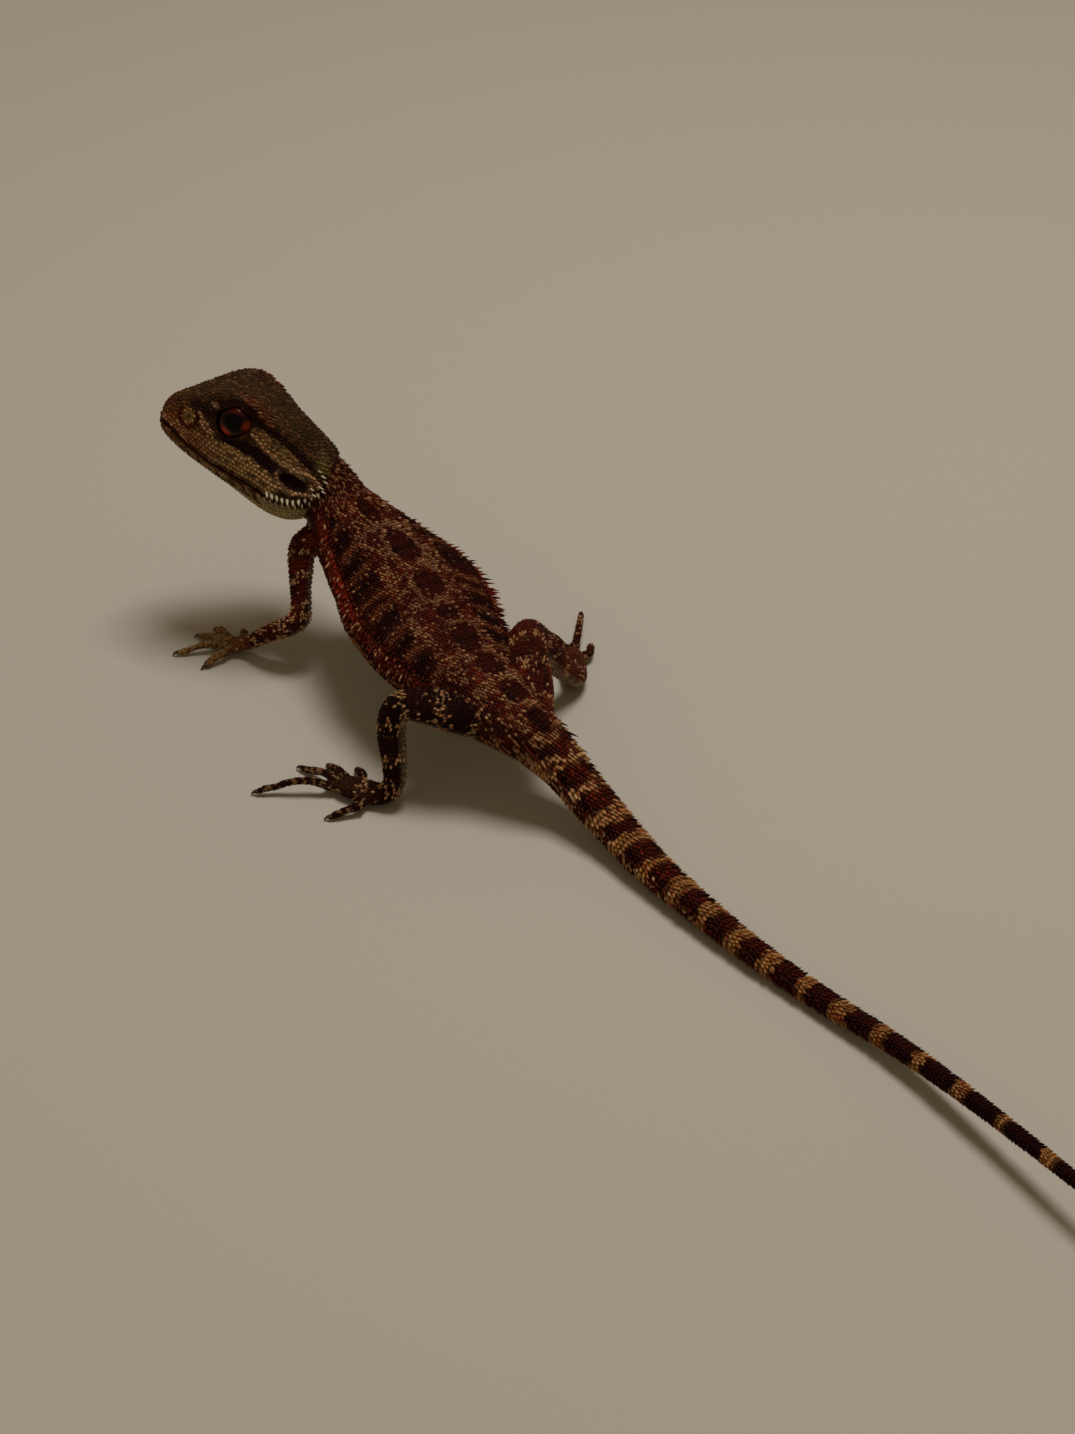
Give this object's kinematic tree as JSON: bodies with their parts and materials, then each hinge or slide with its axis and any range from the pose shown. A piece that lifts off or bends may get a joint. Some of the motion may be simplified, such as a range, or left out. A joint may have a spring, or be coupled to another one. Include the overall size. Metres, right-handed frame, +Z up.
{
  "type": "young bearded dragon",
  "caption": "Young bearded dragon as a still museum-style model: standing alert with its head raised and turned to its left, body level and tail trailing behind it.",
  "frame": {"origin": "on the floor, under the middle of the whole animal's footprint", "axes": "+X to the animal's left, -Y the way its trunk faces, +Z up"},
  "size_m": [0.0515, 0.1544, 0.0345],
  "materials": {
    "hide": "dry matte scales, maroon brown with tan marks",
    "eye": "wet gloss, orange brown iris round a dark pupil"
  },
  "bodies": {
    "root": {"head": "hide", "jaw": "hide", "eye_left": "eye", "eye_right": "eye", "neck": "hide", "chest": "hide", "belly": "hide", "hips": "hide", "tail_root": "hide", "tail_fore": "hide", "tail_middle": "hide", "tail_rear": "hide", "tail_tip": "hide", "upper_arm_left": "hide", "forearm_left": "hide", "hand_left": "hide", "thigh_left": "hide", "shank_left": "hide", "foot_left": "hide", "finger_1_left": "hide", "finger_2_left": "hide", "finger_3_left": "hide", "finger_4_left": "hide", "finger_5_left": "hide", "toe_1_left": "hide", "toe_2_left": "hide", "toe_3_left": "hide", "toe_4_left": "hide", "toe_5_left": "hide", "upper_arm_right": "hide", "forearm_right": "hide", "hand_right": "hide", "thigh_right": "hide", "shank_right": "hide", "foot_right": "hide", "finger_1_right": "hide", "finger_2_right": "hide", "finger_3_right": "hide", "finger_4_right": "hide", "finger_5_right": "hide", "toe_1_right": "hide", "toe_2_right": "hide", "toe_3_right": "hide", "toe_4_right": "hide", "toe_5_right": "hide"}
  },
  "joints": []
}
